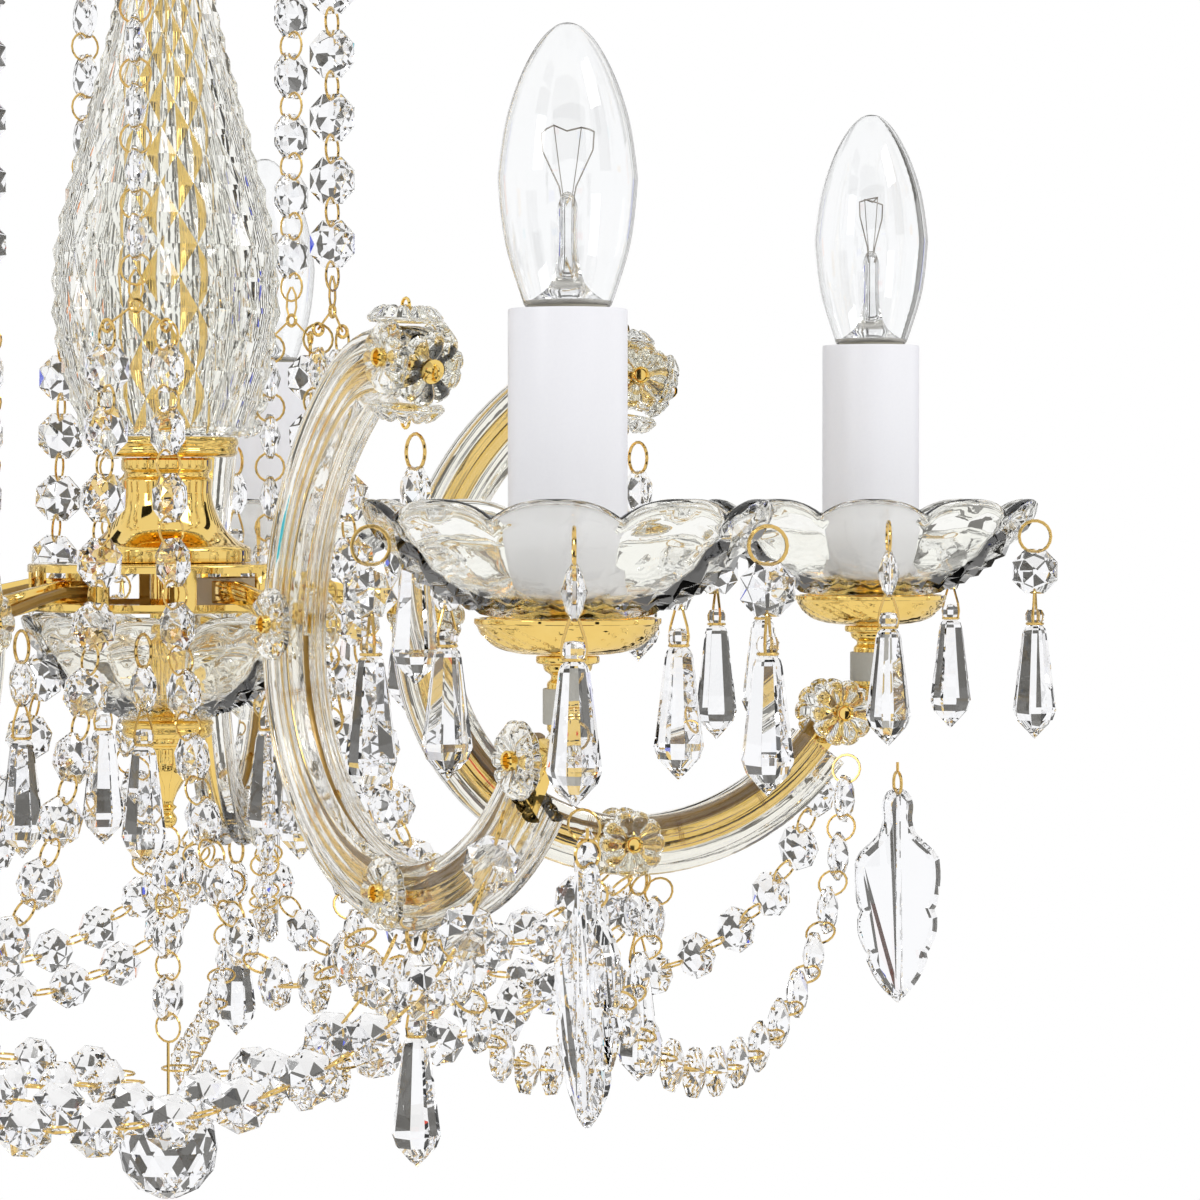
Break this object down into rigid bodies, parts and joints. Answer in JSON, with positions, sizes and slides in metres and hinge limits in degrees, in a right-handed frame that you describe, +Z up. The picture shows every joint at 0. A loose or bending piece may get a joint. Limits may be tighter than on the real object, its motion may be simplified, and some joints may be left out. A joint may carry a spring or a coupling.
{
  "type": "multi arm chandelier",
  "caption": "Crystal chandelier with scrolled glass arms, scalloped candle pans, candle bulbs, hung drops and swags of strung crystals, hung from an eye.",
  "frame": {"origin": "centre of the hanging eye at the top", "axes": "+Z up, +X out along the first arm, +Y along the bore of the hanging eye"},
  "size_m": [0.5083, 0.5296, 0.4825],
  "materials": {
    "gold_plated_brass": "polished gold plate",
    "pressed_glass": "fire-polished pressed glass",
    "cut_crystal": "cut and polished crystal",
    "bulb_glass": "clear blown glass",
    "white_plastic": "satin white",
    "holder_plastic": "moulded white",
    "gold_pvc": "bronze-gold flat cable"
  },
  "bodies": {
    "frame": {"arm_bars": "gold_plated_brass", "arm_cables": "gold_pvc", "arm_rosettes": "pressed_glass", "arm_stems": "gold_plated_brass", "arm_strips": "pressed_glass", "arm_swags": "cut_crystal", "bottom_ball": "cut_crystal", "bowl_nut": "gold_plated_brass", "candle_pans": "pressed_glass", "candle_sleeves": "white_plastic", "centre_tube": "gold_plated_brass", "column_collar": "gold_plated_brass", "column_glass": "pressed_glass", "crown_dish": "pressed_glass", "crown_strings": "cut_crystal", "finial": "gold_plated_brass", "hanging_eye": "gold_plated_brass", "hub_bowl": "pressed_glass", "hub_ring": "gold_plated_brass", "hub_swags": "cut_crystal", "hung_drops": "cut_crystal", "lampholders": "holder_plastic", "neck_bell": "gold_plated_brass", "pan_cups": "gold_plated_brass", "terminal_block": "holder_plastic"},
    "pan_drop_1_1": {"pan_drop_1_1": "cut_crystal"},
    "pan_drop_1_2": {"pan_drop_1_2": "cut_crystal"},
    "pan_drop_1_3": {"pan_drop_1_3": "cut_crystal"},
    "pan_drop_1_4": {"pan_drop_1_4": "cut_crystal"},
    "pan_drop_1_5": {"pan_drop_1_5": "cut_crystal"},
    "pan_drop_2_1": {"pan_drop_2_1": "cut_crystal"},
    "pan_drop_2_2": {"pan_drop_2_2": "cut_crystal"},
    "pan_drop_2_3": {"pan_drop_2_3": "cut_crystal"},
    "pan_drop_2_4": {"pan_drop_2_4": "cut_crystal"},
    "pan_drop_2_5": {"pan_drop_2_5": "cut_crystal"},
    "pan_drop_3_1": {"pan_drop_3_1": "cut_crystal"},
    "pan_drop_3_2": {"pan_drop_3_2": "cut_crystal"},
    "pan_drop_3_3": {"pan_drop_3_3": "cut_crystal"},
    "pan_drop_3_4": {"pan_drop_3_4": "cut_crystal"},
    "pan_drop_3_5": {"pan_drop_3_5": "cut_crystal"},
    "pan_drop_4_1": {"pan_drop_4_1": "cut_crystal"},
    "pan_drop_4_2": {"pan_drop_4_2": "cut_crystal"},
    "pan_drop_4_3": {"pan_drop_4_3": "cut_crystal"},
    "pan_drop_4_4": {"pan_drop_4_4": "cut_crystal"},
    "pan_drop_4_5": {"pan_drop_4_5": "cut_crystal"},
    "pan_drop_5_1": {"pan_drop_5_1": "cut_crystal"},
    "pan_drop_5_2": {"pan_drop_5_2": "cut_crystal"},
    "pan_drop_5_3": {"pan_drop_5_3": "cut_crystal"},
    "pan_drop_5_4": {"pan_drop_5_4": "cut_crystal"},
    "pan_drop_5_5": {"pan_drop_5_5": "cut_crystal"},
    "leaf_pendant_1": {"leaf_pendant_1": "cut_crystal"},
    "leaf_pendant_2": {"leaf_pendant_2": "cut_crystal"},
    "leaf_pendant_3": {"leaf_pendant_3": "cut_crystal"},
    "leaf_pendant_4": {"leaf_pendant_4": "cut_crystal"},
    "leaf_pendant_5": {"leaf_pendant_5": "cut_crystal"},
    "bulb_1": {"bulb_1": "bulb_glass"},
    "bulb_2": {"bulb_2": "bulb_glass"},
    "bulb_3": {"bulb_3": "bulb_glass"},
    "bulb_4": {"bulb_4": "bulb_glass"},
    "bulb_5": {"bulb_5": "bulb_glass"}
  },
  "joints": [
    {"name": "pan_drop_1_1_swing", "type": "hinge", "parent": "frame", "child": "pan_drop_1_1", "pos_m": [0.26414, -0.02652, -0.273], "axis": [-0.515, -0.8572, 0], "range_deg": [-10, 15]},
    {"name": "pan_drop_1_2_swing", "type": "hinge", "parent": "frame", "child": "pan_drop_1_2", "pos_m": [0.25887, 0.03379, -0.273], "axis": [0.6561, -0.7547, 0], "range_deg": [-10, 15]},
    {"name": "pan_drop_1_3_swing", "type": "hinge", "parent": "frame", "child": "pan_drop_1_3", "pos_m": [0.19988, 0.04741, -0.273], "axis": [0.9205, 0.3907, 0], "range_deg": [-10, 15]},
    {"name": "pan_drop_1_4_swing", "type": "hinge", "parent": "frame", "child": "pan_drop_1_4", "pos_m": [0.1687, -0.00449, -0.273], "axis": [-0.0872, 0.9962, 0], "range_deg": [-10, 15]},
    {"name": "pan_drop_1_5_swing", "type": "hinge", "parent": "frame", "child": "pan_drop_1_5", "pos_m": [0.20841, -0.05018, -0.273], "axis": [-0.9744, 0.225, 0], "range_deg": [-10, 15]},
    {"name": "pan_drop_2_1_swing", "type": "hinge", "parent": "frame", "child": "pan_drop_2_1", "pos_m": [0.10685, 0.24302, -0.273], "axis": [0.6561, -0.7547, 0], "range_deg": [-10, 15]},
    {"name": "pan_drop_2_2_swing", "type": "hinge", "parent": "frame", "child": "pan_drop_2_2", "pos_m": [0.04786, 0.25664, -0.273], "axis": [0.9205, 0.3907, 0], "range_deg": [-10, 15]},
    {"name": "pan_drop_2_3_swing", "type": "hinge", "parent": "frame", "child": "pan_drop_2_3", "pos_m": [0.01668, 0.20474, -0.273], "axis": [-0.0872, 0.9962, 0], "range_deg": [-10, 15]},
    {"name": "pan_drop_2_4_swing", "type": "hinge", "parent": "frame", "child": "pan_drop_2_4", "pos_m": [0.0564, 0.15905, -0.273], "axis": [-0.9744, 0.225, 0], "range_deg": [-10, 15]},
    {"name": "pan_drop_2_5_swing", "type": "hinge", "parent": "frame", "child": "pan_drop_2_5", "pos_m": [0.11213, 0.18271, -0.273], "axis": [-0.515, -0.8572, 0], "range_deg": [-10, 15]},
    {"name": "pan_drop_3_1_swing", "type": "hinge", "parent": "frame", "child": "pan_drop_3_1", "pos_m": [-0.19811, 0.17672, -0.273], "axis": [0.9205, 0.3907, 0], "range_deg": [-10, 15]},
    {"name": "pan_drop_3_2_swing", "type": "hinge", "parent": "frame", "child": "pan_drop_3_2", "pos_m": [-0.22929, 0.12482, -0.273], "axis": [-0.0872, 0.9962, 0], "range_deg": [-10, 15]},
    {"name": "pan_drop_3_3_swing", "type": "hinge", "parent": "frame", "child": "pan_drop_3_3", "pos_m": [-0.18957, 0.07913, -0.273], "axis": [-0.9744, 0.225, 0], "range_deg": [-10, 15]},
    {"name": "pan_drop_3_4_swing", "type": "hinge", "parent": "frame", "child": "pan_drop_3_4", "pos_m": [-0.13384, 0.10279, -0.273], "axis": [-0.515, -0.8572, 0], "range_deg": [-10, 15]},
    {"name": "pan_drop_3_5_swing", "type": "hinge", "parent": "frame", "child": "pan_drop_3_5", "pos_m": [-0.13912, 0.1631, -0.273], "axis": [0.6561, -0.7547, 0], "range_deg": [-10, 15]},
    {"name": "pan_drop_4_1_swing", "type": "hinge", "parent": "frame", "child": "pan_drop_4_1", "pos_m": [-0.22929, -0.1338, -0.273], "axis": [-0.0872, 0.9962, 0], "range_deg": [-10, 15]},
    {"name": "pan_drop_4_2_swing", "type": "hinge", "parent": "frame", "child": "pan_drop_4_2", "pos_m": [-0.18957, -0.17949, -0.273], "axis": [-0.9744, 0.225, 0], "range_deg": [-10, 15]},
    {"name": "pan_drop_4_3_swing", "type": "hinge", "parent": "frame", "child": "pan_drop_4_3", "pos_m": [-0.13384, -0.15584, -0.273], "axis": [-0.515, -0.8572, 0], "range_deg": [-10, 15]},
    {"name": "pan_drop_4_4_swing", "type": "hinge", "parent": "frame", "child": "pan_drop_4_4", "pos_m": [-0.13912, -0.09553, -0.273], "axis": [0.6561, -0.7547, 0], "range_deg": [-10, 15]},
    {"name": "pan_drop_4_5_swing", "type": "hinge", "parent": "frame", "child": "pan_drop_4_5", "pos_m": [-0.19811, -0.08191, -0.273], "axis": [0.9205, 0.3907, 0], "range_deg": [-10, 15]},
    {"name": "pan_drop_5_1_swing", "type": "hinge", "parent": "frame", "child": "pan_drop_5_1", "pos_m": [0.0564, -0.25941, -0.273], "axis": [-0.9744, 0.225, 0], "range_deg": [-10, 15]},
    {"name": "pan_drop_5_2_swing", "type": "hinge", "parent": "frame", "child": "pan_drop_5_2", "pos_m": [0.11213, -0.23576, -0.273], "axis": [-0.515, -0.8572, 0], "range_deg": [-10, 15]},
    {"name": "pan_drop_5_3_swing", "type": "hinge", "parent": "frame", "child": "pan_drop_5_3", "pos_m": [0.10685, -0.17544, -0.273], "axis": [0.6561, -0.7547, 0], "range_deg": [-10, 15]},
    {"name": "pan_drop_5_4_swing", "type": "hinge", "parent": "frame", "child": "pan_drop_5_4", "pos_m": [0.04786, -0.16183, -0.273], "axis": [0.9205, 0.3907, 0], "range_deg": [-10, 15]},
    {"name": "pan_drop_5_5_swing", "type": "hinge", "parent": "frame", "child": "pan_drop_5_5", "pos_m": [0.01668, -0.21372, -0.273], "axis": [-0.0872, 0.9962, 0], "range_deg": [-10, 15]},
    {"name": "leaf_pendant_1_swing", "type": "hinge", "parent": "frame", "child": "leaf_pendant_1", "pos_m": [0.229, 0, -0.344], "axis": [0, -1, 0], "range_deg": [-12, 15]},
    {"name": "leaf_pendant_2_swing", "type": "hinge", "parent": "frame", "child": "leaf_pendant_2", "pos_m": [0.07076, 0.21779, -0.344], "axis": [0.9511, -0.309, 0], "range_deg": [-12, 15]},
    {"name": "leaf_pendant_3_swing", "type": "hinge", "parent": "frame", "child": "leaf_pendant_3", "pos_m": [-0.18527, 0.1346, -0.344], "axis": [0.5878, 0.809, 0], "range_deg": [-12, 15]},
    {"name": "leaf_pendant_4_swing", "type": "hinge", "parent": "frame", "child": "leaf_pendant_4", "pos_m": [-0.18527, -0.1346, -0.344], "axis": [-0.5878, 0.809, 0], "range_deg": [-12, 15]},
    {"name": "leaf_pendant_5_swing", "type": "hinge", "parent": "frame", "child": "leaf_pendant_5", "pos_m": [0.07076, -0.21779, -0.344], "axis": [-0.9511, -0.309, 0], "range_deg": [-12, 15]},
    {"name": "bulb_1_lift", "type": "slide", "parent": "frame", "child": "bulb_1", "axis": [0, 0, 1], "range_m": [0, 0.04]},
    {"name": "bulb_2_lift", "type": "slide", "parent": "frame", "child": "bulb_2", "axis": [0, 0, 1], "range_m": [0, 0.04]},
    {"name": "bulb_3_lift", "type": "slide", "parent": "frame", "child": "bulb_3", "axis": [0, 0, 1], "range_m": [0, 0.04]},
    {"name": "bulb_4_lift", "type": "slide", "parent": "frame", "child": "bulb_4", "axis": [0, 0, 1], "range_m": [0, 0.04]},
    {"name": "bulb_5_lift", "type": "slide", "parent": "frame", "child": "bulb_5", "axis": [0, 0, 1], "range_m": [0, 0.04]}
  ]
}
